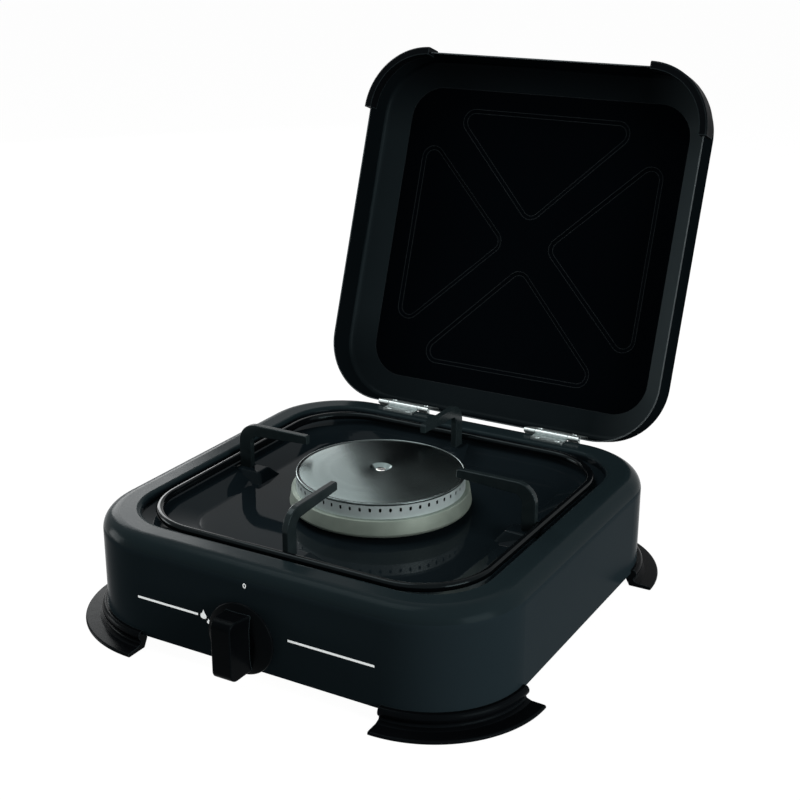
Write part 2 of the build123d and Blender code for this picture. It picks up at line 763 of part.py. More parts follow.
shoulder_front = plate_back + side_gap
shoulder_back = shoulder_front + shoulder_thickness
spindle_end = chamber_back
with BuildPart() as tap_spindle:
    with BuildSketch(tap_radial):
        with BuildLine():
            Polyline(
                (0, panel_y - spindle_front),
                (spindle / 2 - 0.5, panel_y - spindle_front),
                (spindle / 2, panel_y - spindle_front + 0.5),
                (spindle / 2, shoulder_front),
                (spindle_shoulder / 2, shoulder_front),
                (spindle_shoulder / 2, shoulder_back),
                (spindle / 2, shoulder_back),
                (spindle / 2, spindle_end - knob_travel - side_gap),
                (0, spindle_end - knob_travel - side_gap),
                close=True,
            )
        make_face()
    revolve(axis=tap_axis)
    with BuildSketch(facing_back(spindle_end - knob_travel - side_gap)):
        Rectangle(spindle * 0.85, tang_thickness)
    extrude(amount=knob_travel + side_gap + tang_reach)
    # flat for the knob
    with BuildSketch(facing_back(panel_y - spindle_front)):
        with Locations((0, spindle / 2)):
            Rectangle(spindle, 2 * spindle_flat)
    extrude(amount=spindle_front - knob_gap - knob_recess_depth + 1, mode=Mode.SUBTRACT)
finish(tap_spindle, "tap_spindle")

spring_front = shoulder_back
spring_back = chamber_back
spring_pitch = (spring_back - spring_front - spring_wire) / spring_turns
with BuildPart() as tap_spring:
    with BuildLine() as coil:
        Helix(
            pitch=spring_pitch,
            height=spring_back - spring_front - spring_wire,
            radius=spring_mean / 2,
            center=(tap_x, spring_front + spring_wire / 2, tap_z),
            direction=(0, 1, 0),
        )
    with BuildSketch(Plane(coil.line @ 0, z_dir=coil.line % 0)):
        Circle(spring_wire / 2)
    sweep(is_frenet=True)
finish(tap_spring, "tap_spring")

with BuildPart() as injector:
    with BuildSketch(tap_radial):
        with BuildLine():
            Polyline(
                (0, barrel_back - tap_back_wall),
                (injector_hex * 0.36, barrel_back - tap_back_wall),
                (injector_hex * 0.36, injector_tip - 5),
                (injector_hex * 0.27, injector_tip),
                (0, injector_tip),
                close=True,
            )
        make_face()
    revolve(axis=tap_axis)
    with BuildSketch(facing_back(barrel_back)):
        RegularPolygon(injector_hex / 2, 6, major_radius=False)
    extrude(amount=injector_length / 3)
    with BuildSketch(facing_back(barrel_back - tap_back_wall)):
        Circle(plug_way / 2)
    extrude(amount=tap_back_wall + injector_length - 1.6, mode=Mode.SUBTRACT)
    with BuildSketch(facing_back(injector_tip)):
        Circle(injector_orifice / 2)
    extrude(amount=-2, mode=Mode.SUBTRACT)
finish(injector, "injector")

# ------------------------------------------------------------------ mixing tube
tube_run = sqrt(tap_x**2 + mouth_y**2)
# local x runs along the tube from under the burner to the injector, local y is up
tube_plane = Plane((0, 0, 0), x_dir=(tap_x, mouth_y, 0), z_dir=Vector(0, 0, 1).cross(Vector(tap_x, mouth_y, 0)) * -1)
tube_r = tube_outer / 2
tube_top = bowl_bottom

with BuildPart() as mixing_tube:
    with BuildLine(tube_plane) as tube_path:
        FilletPolyline((0, tube_top), (0, tap_z), (tube_run, tap_z), radius=tube_bend)
    with BuildSketch(Plane.XY.offset(tube_top)):
        Circle(tube_r)
    sweep(path=tube_path.line)
    with BuildSketch(tube_plane):
        with BuildLine():
            Polyline(
                (tube_run - bell_length, tap_z),
                (tube_run - bell_length, tap_z + tube_r),
                (tube_run - bell_length * 0.4, tap_z + bell_outer / 2 - 1.5),
                (tube_run, tap_z + bell_outer / 2),
                (tube_run, tap_z),
                close=True,
            )
        make_face()
    bell_axis = Axis(tube_plane.from_local_coords((0, tap_z, 0)), tube_plane.x_dir)
    revolve(axis=bell_axis)
    with BuildSketch(Plane.XY.offset(tube_top)):
        SlotOverall(tube_flange + 8, tube_outer + 6, rotation=tube_turn)
    extrude(amount=-tube_flange_thickness)
    # bore
    with BuildSketch(Plane.XY.offset(tube_top)):
        Circle(tube_r - tube_wall)
    sweep(path=tube_path.line, mode=Mode.SUBTRACT)
    with BuildSketch(tube_plane):
        with BuildLine():
            Polyline(
                (tube_run - bell_length, tap_z),
                (tube_run - bell_length, tap_z + tube_r - tube_wall),
                (tube_run - bell_length * 0.4, tap_z + bell_outer / 2 - 1.5 - tube_wall),
                (tube_run, tap_z + bell_outer / 2 - tube_wall),
                (tube_run, tap_z),
                close=True,
            )
        make_face()
    revolve(axis=bell_axis, mode=Mode.SUBTRACT)
    with BuildSketch(Plane.XY.offset(tube_top)):
        with PolarLocations(tube_screw_at, 2, tube_turn):
            Circle(bowl_screw / 2 + screw_gap)
    extrude(amount=-tube_flange_thickness, mode=Mode.SUBTRACT)
finish(mixing_tube, "mixing_tube")

with BuildPart() as mixing_tube_screws:
    with BuildSketch(Plane.XY.offset(tube_top - tube_flange_thickness)):
        with PolarLocations(tube_screw_at, 2, tube_turn):
            Circle(bowl_screw * 0.9)
    extrude(amount=-0.6 * bowl_screw)
    with BuildSketch(Plane.XY.offset(tube_top - tube_flange_thickness)):
        with PolarLocations(tube_screw_at, 2, tube_turn):
            Circle(bowl_screw / 2)
    extrude(amount=tube_flange_thickness + cup_wall - 0.2)
finish(mixing_tube_screws, "mixing_tube_screws")

# ------------------------------------------------------------------ gas pipe and inlet
union_front = tap_x - inlet_reach
nozzle_inner = back_wall - nozzle_flange
nozzle_boss_end = nozzle_inner - union_length
pipe_start = (union_front, inlet_y, tap_z)
pipe_end = (pipe_run_x, nozzle_boss_end, tap_z)

with BuildPart() as gas_pipe:
    with BuildLine() as pipe_path:
        FilletPolyline(pipe_start, (pipe_run_x, inlet_y, tap_z), pipe_end, radius=pipe_bend)
    with BuildSketch(Plane(pipe_start, x_dir=(0, 1, 0), z_dir=(-1, 0, 0))):
        Circle(pipe_outer / 2)
        Circle(pipe_outer / 2 - pipe_wall, mode=Mode.SUBTRACT)
    sweep(path=pipe_path.line)
finish(gas_pipe, "gas_pipe")

with BuildPart() as union_nut_tap:
    with BuildSketch(Plane((union_front + union_length - 1, inlet_y, tap_z), x_dir=(0, 1, 0), z_dir=(-1, 0, 0))):
        RegularPolygon(union_hex / 2, 6, major_radius=False)
        Circle(union_thread / 2, mode=Mode.SUBTRACT)
    extrude(amount=union_length - 1)
    with BuildSketch(Plane((union_front, inlet_y, tap_z), x_dir=(0, 1, 0), z_dir=(-1, 0, 0))):
        RegularPolygon(union_hex / 2, 6, major_radius=False)
        Circle(pipe_outer / 2, mode=Mode.SUBTRACT)
    extrude(amount=union_floor)
finish(union_nut_tap, "union_nut_tap")

with BuildPart() as union_nut_inlet:
    with BuildSketch(Plane((pipe_run_x, nozzle_boss_end, tap_z), x_dir=(-1, 0, 0), z_dir=(0, 1, 0))):
        RegularPolygon(union_hex / 2, 6, major_radius=False)
        Circle(union_thread / 2, mode=Mode.SUBTRACT)
    extrude(amount=union_length - 1)
    with BuildSketch(Plane((pipe_run_x, nozzle_boss_end, tap_z), x_dir=(-1, 0, 0), z_dir=(0, 1, 0))):
        RegularPolygon(union_hex / 2, 6, major_radius=False)
        Circle(pipe_outer / 2, mode=Mode.SUBTRACT)
    extrude(amount=-union_floor)
finish(union_nut_inlet, "union_nut_inlet")

nozzle_plane = Plane((pipe_run_x, 0, tap_z), x_dir=(1, 0, 0), z_dir=(0, 0, 1))
nozzle_axis = Axis((pipe_run_x, 0, tap_z), (0, 1, 0))
nozzle_tip = half + nozzle_reach
barb_y = half + nozzle_nut + 2
barb_length = (nozzle_tip - barb_y) / 3
with BuildPart() as inlet_nozzle:
    with BuildSketch(nozzle_plane):
        with BuildLine():
            r = nozzle_outer / 2
            points = [
                (nozzle_bore / 2, nozzle_boss_end),
                (union_thread / 2, nozzle_boss_end),
                (union_thread / 2, nozzle_inner),
                (nozzle_neck / 2, nozzle_inner),
                (nozzle_neck / 2, half + nozzle_nut + 1),
                (r - 0.6, barb_y),
            ]
            for n in range(3):
                points.append((r + nozzle_barb / 2, barb_y + barb_length * n + 0.8))
                points.append((r - 0.6, barb_y + barb_length * (n + 1)))
            points.append((nozzle_bore / 2, nozzle_tip))
            Polyline(*points, close=True)
        make_face()
    revolve(axis=nozzle_axis)
    with BuildSketch(Plane((pipe_run_x, nozzle_inner, tap_z), x_dir=(-1, 0, 0), z_dir=(0, 1, 0))):
        RegularPolygon(nozzle_hex / 2, 6, major_radius=False)
        Circle(nozzle_neck / 2 - 0.2, mode=Mode.SUBTRACT)
    extrude(amount=nozzle_flange)
finish(inlet_nozzle, "inlet_nozzle")

with BuildPart() as inlet_locknut:
    with BuildSketch(Plane((pipe_run_x, half, tap_z), x_dir=(-1, 0, 0), z_dir=(0, 1, 0))):
        RegularPolygon(nozzle_hex / 2, 6, major_radius=False)
        Circle(nozzle_neck / 2, mode=Mode.SUBTRACT)
    extrude(amount=nozzle_nut)
finish(inlet_locknut, "inlet_locknut")

# ------------------------------------------------------------------ knob
skirt_back = panel_y - knob_gap
skirt_front = skirt_back - knob_skirt_thickness
dome_front = skirt_front - knob_dome_height
grip_front = panel_y - knob_front
grip_back = skirt_front - 1
recess_end = skirt_back - knob_recess_depth
with BuildPart() as knob_grip:
    # the outline from the side, with its local x ahead of the skirt
    with BuildSketch(Plane((tap_x, grip_back, tap_z), x_dir=(0, -1, 0), z_dir=(1, 0, 0))) as from_side:
        with BuildLine():
            Polyline(
                (0, -knob_grip_base / 2),
                (grip_back - grip_front, -knob_grip_height / 2),
                (grip_back - grip_front, knob_grip_height / 2),
                (0, knob_grip_base / 2),
                close=True,
            )
        make_face()
        fillet(from_side.vertices().group_by(Axis.X)[-1], knob_nose)
    extrude(amount=knob_grip_base_width / 2, both=True)
    # and from above, narrower at the front
    with BuildSketch(Plane.XY.offset(tap_z)):
        with BuildLine():
            Polyline(
                (tap_x - knob_grip_base_width / 2, grip_back),
                (tap_x - knob_grip_width / 2, grip_front),
                (tap_x + knob_grip_width / 2, grip_front),
                (tap_x + knob_grip_base_width / 2, grip_back),
                close=True,
            )
        make_face()
    extrude(amount=knob_grip_height, both=True, mode=Mode.INTERSECT)
    fillet(knob_grip.edges().filter_by(lambda e: abs(e.center().X - tap_x) > 1 and e.center().Y < grip_back - 0.1), knob_edge)

with BuildPart() as knob:
    with BuildSketch(tap_radial):
        with BuildLine():
            Line((0, skirt_back), (knob_skirt / 2 - 0.4, skirt_back))
            ThreePointArc(
                (knob_skirt / 2 - 0.4, skirt_back),
                (knob_skirt / 2, skirt_back - knob_skirt_thickness / 2),
                (knob_skirt / 2 - 0.6, skirt_front),
            )
            ThreePointArc(
                (knob_skirt / 2 - 0.6, skirt_front),
                ((knob_skirt + knob_dome) / 4, skirt_front - knob_dome_height * 0.62),
                (knob_dome / 2, dome_front),
            )
            Line((knob_dome / 2, dome_front), (0, dome_front))
            Line((0, dome_front), (0, skirt_back))
        make_face()
    revolve(axis=tap_axis)
    add(knob_grip.part)
    with BuildSketch(facing_back(recess_end)):
        Circle(knob_recess / 2)
    extrude(amount=knob_recess_depth, mode=Mode.SUBTRACT)
    # bore with a flat, as on the spindle
    with BuildSketch(facing_back(panel_y - spindle_front - 0.5)):
        Circle(spindle / 2 + knob_fit)
        with Locations((0, spindle / 2 + knob_fit)):
            Rectangle(spindle + 1, 2 * spindle_flat, mode=Mode.SUBTRACT)
    extrude(amount=spindle_front + 0.5 - knob_gap - knob_recess_depth, mode=Mode.SUBTRACT)
finish(knob, "knob")

# ------------------------------------------------------------------ lid
open_lean = radians(lid_open_angle - 90)
lid_up = Vector(0, sin(open_lean), cos(open_lean))          # from the hinge up the open lid
lid_in = Vector(0, -cos(open_lean), sin(open_lean))         # out of the lid's mouth
axis_v = lid_sheet - hinge_leaf
hinge_point = Vector(0, hinge_y, hinge_z)
lid_origin = hinge_point - lid_in * lid_rim_over_axis - lid_up * axis_v
# local x across the lid, local y up the lid, local z out of its mouth; the rim lies at z = 0
lid_plane = Plane(lid_origin, x_dir=(1, 0, 0), z_dir=lid_in)
# section plane of the lid: local x up the lid, local y out of its mouth
lid_section = Plane(lid_origin, x_dir=lid_up, z_dir=(1, 0, 0))
band_angle = atan((lid_height - lid_skirt) / lid_panel_inset)


press_half_angle = atan(press_half_base / (press_base - press_apex))
press_angle = atan(press_depth / press_slope)


def press_outline(inset, turn):
    """One pressed triangle on the lid's panel, its apex towards the middle."""
    apex = press_apex + inset / sin(press_half_angle)
    half_base = (press_base - inset - apex) * tan(press_half_angle)
    with BuildSketch(Plane.XY) as outline:
        with BuildLine():
            Polyline((apex, 0), (press_base - inset, half_base), (press_base - inset, -half_base), close=True)
        make_face()
        fillet(outline.vertices(), press_corner - inset)
    return Pos(0, lid_depth / 2) * Rotation(0, 0, turn) * outline.sketch


def lid_form(inset):
    """The lid as a closed form, drawn in by inset from its outer skin."""
    skirt_end = lid_skirt - inset * tan((radians(90) - band_angle) / 2)
    panel_at = lid_height - inset
    panel_inset = lid_panel_inset + inset * tan(band_angle / 2)
    middle = (0, lid_depth / 2)
    with BuildPart() as form:
        with BuildSketch(lid_plane):
            with Locations(middle):
                RectangleRounded(lid_width - 2 * inset, lid_depth - 2 * inset, lid_corner - inset)
        extrude(amount=-skirt_end)
        with BuildSketch(lid_plane.offset(-skirt_end)):
            with Locations(middle):
                RectangleRounded(lid_width - 2 * inset, lid_depth - 2 * inset, lid_corner - inset)
        with BuildSketch(lid_plane.offset(-panel_at)):
            with Locations(middle):
                RectangleRounded(
                    lid_width - 2 * panel_inset, lid_depth - 2 * panel_inset, lid_corner - panel_inset
                )
        loft()
        bend = form.edges().filter_by(
            lambda e: abs(lid_plane.to_local_coords(e.center()).Z + skirt_end) < 0.01
        )
        fillet(bend, lid_roll - inset)
        # the four pressed triangles, with sloped walls
        wall_shift = inset * tan(press_angle / 2)
        for turn in (0, 90, 180, 270):
            with BuildSketch(lid_plane.offset(-panel_at)):
                add(press_outline(wall_shift, turn))
            with BuildSketch(lid_plane.offset(-panel_at - press_depth)):
                add(press_outline(wall_shift + press_slope, turn))
            loft()
    return form.part


with BuildPart() as lid:
    add(lid_form(0))
    add(lid_form(lid_sheet), mode=Mode.SUBTRACT)
    with BuildSketch(Plane(lid_origin, x_dir=(1, 0, 0), z_dir=lid_up)):
        with Locations(*[(s * hinge_x + d, lid_rivet_depth) for s in (-1, 1) for d in (-lid_rivet_spread, lid_rivet_spread)]):
            Circle(hinge_rivet / 2)
    extrude(amount=lid_sheet, mode=Mode.SUBTRACT)
finish(lid, "lid")

# lid buffers: moulded channels gripped on the skirt at the two free corners
corner_u = lid_width / 2 - lid_corner
corner_v = lid_depth - lid_corner
buffer_outer_r = lid_corner + buffer_wall
buffer_end = lid_rim_over_axis + hinge_z_over_top - closed_gap

with BuildPart() as lid_corner_buffer_right:
    with BuildSketch(Plane(lid_plane.from_local_coords((corner_u, corner_v, 0)), x_dir=(1, 0, 0), z_dir=-lid_up)):
        with BuildLine():
            Polyline(
                (lid_corner + seat_gap, -buffer_grip),
                (buffer_outer_r - 1, -buffer_grip),
                (buffer_outer_r, -buffer_grip + 1),
                (buffer_outer_r, buffer_end - 1),
                (buffer_outer_r - 1, buffer_end),
                (lid_corner - lid_sheet - seat_gap - buffer_inner_wall, buffer_end),
                (lid_corner - lid_sheet - seat_gap - buffer_inner_wall, -buffer_inner_grip),
                (lid_corner - lid_sheet - seat_gap, -buffer_inner_grip),
                (lid_corner - lid_sheet - seat_gap, 0),
                (lid_corner + seat_gap, 0),
                close=True,
            )
        make_face()
    revolve(
        axis=Axis(lid_plane.from_local_coords((corner_u, corner_v, 0)), lid_in),
        revolution_arc=90,
    )
finish(lid_corner_buffer_right, "lid_corner_buffer_right")

with BuildPart() as lid_corner_buffer_left:
    add(lid_corner_buffer_right.part.mirror(Plane.YZ))
finish(lid_corner_buffer_left, "lid_corner_buffer_left")

# ------------------------------------------------------------------ hinges
barrel_r = hinge_pin / 2 + hinge_leaf
body_knuckle = hinge_width - 2 * hinge_end_knuckle
leaf_clear = side_gap + barrel_r
axis_w = lid_rim_over_axis
hinge_side = Plane.YZ.offset(hinge_x)

with BuildPart() as hinge_body_leaf_right:
    with BuildSketch(hinge_side):
        with Locations((hinge_y - hinge_body_reach, body_top)):
            Rectangle(hinge_body_reach, hinge_leaf, align=(Align.MIN, Align.MIN))
        with Locations((hinge_y, hinge_z)):
            Circle(barrel_r)
            Circle(hinge_pin / 2, mode=Mode.SUBTRACT)
    extrude(amount=body_knuckle / 2 - side_gap / 2, both=True)
    front_corners = hinge_body_leaf_right.edges().filter_by(Axis.Z).group_by(Axis.Y)[0]
    fillet(front_corners, 2)
    with BuildSketch(Plane.XY.offset(body_top)):
        with Locations((hinge_x - body_rivet_spread, rivet_y), (hinge_x + body_rivet_spread, rivet_y)):
            Circle(hinge_rivet / 2)
    extrude(amount=hinge_leaf, mode=Mode.SUBTRACT)
finish(hinge_body_leaf_right, "hinge_body_leaf_right")

# the stop lug stands square on the rolled edge of the body when the lid is open
roll_y = hinge_y + 1.1 - (half - body_roll)
lug_lean = atan2(roll_y, sqrt(body_roll**2 - roll_y**2))
roll_axis_y = half - body_roll
roll_axis_z = body_top - body_roll
lug_y = roll_axis_y + (body_roll + seat_gap) * sin(lug_lean)
lug_z = roll_axis_z + (body_roll + seat_gap) * cos(lug_lean)
lug_across = stop_width / 2 * cos(lug_lean)
lug_along = stop_width / 2 * sin(lug_lean)
with BuildPart() as hinge_lid_leaf_right:
    with BuildSketch(lid_section.offset(hinge_x)):
        with Locations((lid_sheet, leaf_clear * -1 + axis_w)):
            Rectangle(hinge_leaf, hinge_lid_reach, align=(Align.MIN, Align.MAX))
    extrude(amount=hinge_width / 2, both=True)
    tip_corners = hinge_lid_leaf_right.edges().filter_by(
        lambda e: abs(lid_section.to_local_coords(e.center()).Y - axis_w + leaf_clear + hinge_lid_reach) < 0.01
        and e.length < 2
    )
    fillet(tip_corners, 2)
    for side in (-1, 1):
        knuckle_middle = hinge_x + side * (hinge_width - hinge_end_knuckle) / 2
        with BuildSketch(lid_section.offset(knuckle_middle)):
            with Locations((lid_sheet, axis_w)):
                Rectangle(hinge_leaf, leaf_clear, align=(Align.MIN, Align.MAX))
            with Locations((axis_v, axis_w)):
                Circle(barrel_r)
        extrude(amount=hinge_end_knuckle / 2 - side_gap / 2, both=True)
        with BuildSketch(Plane.YZ.offset(knuckle_middle)):
            with BuildLine():
                Polyline(
                    (lug_y - lug_across, lug_z + lug_along),
                    (lug_y + lug_across, lug_z - lug_along),
                    (hinge_y + barrel_r * 0.8, hinge_z),
                    (hinge_y, hinge_z),
                    close=True,
                )
            make_face()
        extrude(amount=hinge_end_knuckle / 2 - side_gap / 2, both=True)
    with BuildSketch(hinge_side):
        with Locations((hinge_y, hinge_z)):
            Circle(hinge_pin / 2 + rotate_gap)
    extrude(amount=hinge_width, both=True, mode=Mode.SUBTRACT)
    with BuildSketch(Plane(lid_origin, x_dir=(1, 0, 0), z_dir=lid_up)):
        with Locations((hinge_x - lid_rivet_spread, lid_rivet_depth), (hinge_x + lid_rivet_spread, lid_rivet_depth)):
            Circle(hinge_rivet / 2)
    extrude(amount=lid_sheet + hinge_leaf, mode=Mode.SUBTRACT)
finish(hinge_lid_leaf_right, "hinge_lid_leaf_right")

with BuildPart() as hinge_pin_right:
    with BuildSketch(hinge_side):
        with Locations((hinge_y, hinge_z)):
            Circle(hinge_pin / 2)
    extrude(amount=hinge_width / 2 + 0.4, both=True)
finish(hinge_pin_right, "hinge_pin_right")

with BuildPart() as hinge_body_leaf_left:
    add(hinge_body_leaf_right.part.mirror(Plane.YZ))
finish(hinge_body_leaf_left, "hinge_body_leaf_left")

with BuildPart() as hinge_lid_leaf_left:
    add(hinge_lid_leaf_right.part.mirror(Plane.YZ))
finish(hinge_lid_leaf_left, "hinge_lid_leaf_left")

with BuildPart() as hinge_pin_left:
    add(hinge_pin_right.part.mirror(Plane.YZ))
finish(hinge_pin_left, "hinge_pin_left")

with BuildPart() as hinge_body_rivets:
    with BuildSketch(Plane.XY.offset(body_top - body_sheet)):
        with Locations(*[(s * hinge_x + d, rivet_y) for s in (-1, 1) for d in (-body_rivet_spread, body_rivet_spread)]):
            Circle(hinge_rivet / 2)
    extrude(amount=body_sheet + hinge_leaf)
    with BuildSketch(Plane.XY.offset(body_top + hinge_leaf)):
        with Locations(*[(s * hinge_x + d, rivet_y) for s in (-1, 1) for d in (-body_rivet_spread, body_rivet_spread)]):
            Circle(hinge_rivet_head / 2)
    extrude(amount=hinge_rivet_high)
    fillet(hinge_body_rivets.edges().group_by(Axis.Z)[-1], hinge_rivet_high * 0.7)
    with BuildSketch(Plane.XY.offset(body_top - body_sheet)):
        with Locations(*[(s * hinge_x + d, rivet_y) for s in (-1, 1) for d in (-body_rivet_spread, body_rivet_spread)]):
            Circle(hinge_rivet_head / 2 - 0.3)
    extrude(amount=-hinge_rivet_high)
finish(hinge_body_rivets, "hinge_body_rivets")

lid_rivet_plane = Plane(lid_origin, x_dir=(1, 0, 0), z_dir=lid_up)
lid_rivet_places = [(s * hinge_x + d, lid_rivet_depth) for s in (-1, 1) for d in (-lid_rivet_spread, lid_rivet_spread)]
with BuildPart() as hinge_lid_rivets:
    with BuildSketch(lid_rivet_plane):
        with Locations(*lid_rivet_places):
            Circle(hinge_rivet / 2)
    extrude(amount=lid_sheet + hinge_leaf)
    with BuildSketch(lid_rivet_plane.offset(lid_sheet + hinge_leaf)):
        with Locations(*lid_rivet_places):
            Circle(hinge_rivet_head / 2)
    extrude(amount=hinge_rivet_high)
    with BuildSketch(lid_rivet_plane):
        with Locations(*lid_rivet_places):
            Circle(hinge_rivet_head / 2)
    extrude(amount=-hinge_rivet_high)
finish(hinge_lid_rivets, "hinge_lid_rivets")

# ------------------------------------------------------------------ pan support
wire_z = body_top - support_wire_height
leg_outer = support_half - support_wire / 2
leg_inner = leg_outer - prong_leg
leg_bottom = floor_z + boss_height
prong_top = body_top + prong_rise
straight = support_half - support_corner

with BuildPart() as pan_support_frame:
    with BuildLine(Plane.XY.offset(wire_z)) as wire_path:
        FilletPolyline(
            (support_half, support_half),
            (support_half, -support_half),
            (-support_half, -support_half),
            (-support_half, support_half),
            radius=support_corner,
            close=True,
        )
    with BuildSketch(Plane(wire_path.line @ 0, z_dir=wire_path.line % 0)):
        Circle(support_wire / 2)
    sweep(path=wire_path.line)
finish(pan_support_frame, "pan_support_frame")

with BuildPart() as pan_support_prong_right:
    with BuildSketch(Plane.XZ):
        with BuildLine():
            Line((leg_inner, leg_bottom), (leg_outer, leg_bottom))
            Line((leg_outer, leg_bottom), (leg_outer, prong_top - prong_bend))
            RadiusArc((leg_outer, prong_top - prong_bend), (leg_outer - prong_bend, prong_top), -prong_bend)
            Line((leg_outer - prong_bend, prong_top), (prong_tip + 1, prong_top))
            Line((prong_tip + 1, prong_top), (prong_tip, prong_top - 1))
            Line((prong_tip, prong_top - 1), (prong_tip, prong_top - prong_tip_height))
            Line((prong_tip, prong_top - prong_tip_height), (leg_inner - 6, prong_top - prong_arm_height))
            ThreePointArc(
                (leg_inner - 6, prong_top - prong_arm_height),
                (leg_inner - 1.4, prong_top - prong_arm_height - 2),
                (leg_inner, prong_top - prong_arm_height - 7),
            )
            Line((leg_inner, prong_top - prong_arm_height - 7), (leg_inner, leg_bottom))
        make_face()
    extrude(amount=prong_thickness / 2, both=True)
    rounded = pan_support_prong_right.edges().filter_by(
        lambda e: e.center().Z > leg_bottom + 1 and abs(abs(e.center().Y) - prong_thickness / 2) < 0.01
    )
    fillet(rounded, 0.7)
finish(pan_support_prong_right, "pan_support_prong_right")

with BuildPart() as pan_support_prong_back:
    add(pan_support_prong_right.part.rotate(Axis.Z, 90))
finish(pan_support_prong_back, "pan_support_prong_back")

with BuildPart() as pan_support_prong_left:
    add(pan_support_prong_right.part.rotate(Axis.Z, 180))
finish(pan_support_prong_left, "pan_support_prong_left")

with BuildPart() as pan_support_prong_front:
    add(pan_support_prong_right.part.rotate(Axis.Z, 270))
finish(pan_support_prong_front, "pan_support_prong_front")
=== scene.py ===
"""Looks, camera and light for the single-burner table-top gas hob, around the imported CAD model."""

import bpy
import bmesh
import math
from mathutils import Matrix, Vector


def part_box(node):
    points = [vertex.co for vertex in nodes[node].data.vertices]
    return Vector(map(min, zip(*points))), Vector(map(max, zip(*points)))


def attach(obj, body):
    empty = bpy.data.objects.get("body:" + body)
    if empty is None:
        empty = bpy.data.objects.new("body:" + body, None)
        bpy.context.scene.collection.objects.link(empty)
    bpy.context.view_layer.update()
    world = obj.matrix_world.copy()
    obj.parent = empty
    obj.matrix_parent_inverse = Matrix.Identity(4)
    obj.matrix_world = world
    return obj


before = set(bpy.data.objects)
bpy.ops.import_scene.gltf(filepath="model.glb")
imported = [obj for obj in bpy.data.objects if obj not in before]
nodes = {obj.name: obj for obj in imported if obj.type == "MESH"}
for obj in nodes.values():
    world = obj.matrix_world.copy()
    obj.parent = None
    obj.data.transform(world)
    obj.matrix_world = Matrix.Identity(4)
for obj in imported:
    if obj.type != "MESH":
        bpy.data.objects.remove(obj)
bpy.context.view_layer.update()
scene = bpy.context.scene
body_lo, body_hi = (Vector(corner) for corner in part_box("body_shell"))

# ------------------------------------------------------------------ camera
# fitted to the photo: angles in radians, lengths in metres
YAW = 0.5180793
PITCH = 0.3430678
ROLL = 0.0028788
DISTANCE = 0.96024
AIM_X = 0.0080
AIM_Y = 0.0119
AIM_OVER_BODY_BASE = 0.1266
FOCAL_PIXELS = 1432.22
FRAME_PIXELS = 800
SENSOR_MM = 36.0

back = Vector((math.sin(YAW) * math.cos(PITCH), -math.cos(YAW) * math.cos(PITCH), math.sin(PITCH)))
level = Vector((math.cos(YAW), math.sin(YAW), 0))
rise = back.cross(level)
right = level * math.cos(ROLL) + rise * math.sin(ROLL)
up = rise * math.cos(ROLL) - level * math.sin(ROLL)
aim = Vector((AIM_X, AIM_Y, body_lo.z + AIM_OVER_BODY_BASE))
spot = aim + back * DISTANCE

cam_data = bpy.data.cameras.new("camera")
cam = bpy.data.objects.new("camera", cam_data)
scene.collection.objects.link(cam)
scene.camera = cam
cam.matrix_world = Matrix(
    (
        (right.x, up.x, back.x, spot.x),
        (right.y, up.y, back.y, spot.y),
        (right.z, up.z, back.z, spot.z),
        (0, 0, 0, 1),
    )
)
cam_data.sensor_width = SENSOR_MM
cam_data.lens = FOCAL_PIXELS / FRAME_PIXELS * SENSOR_MM
cam_data.clip_start = 0.01
cam_data.clip_end = 50

scene.view_settings.view_transform = "Standard"


# ------------------------------------------------------------------ material helpers
SOCKETS = {
    "color": "Base Color",
    "metal": "Metallic",
    "rough": "Roughness",
    "spec": "Specular IOR Level",
    "spec_tint": "Specular Tint",
    "aniso": "Anisotropic",
    "normal": "Normal",
    "tangent": "Tangent",
}


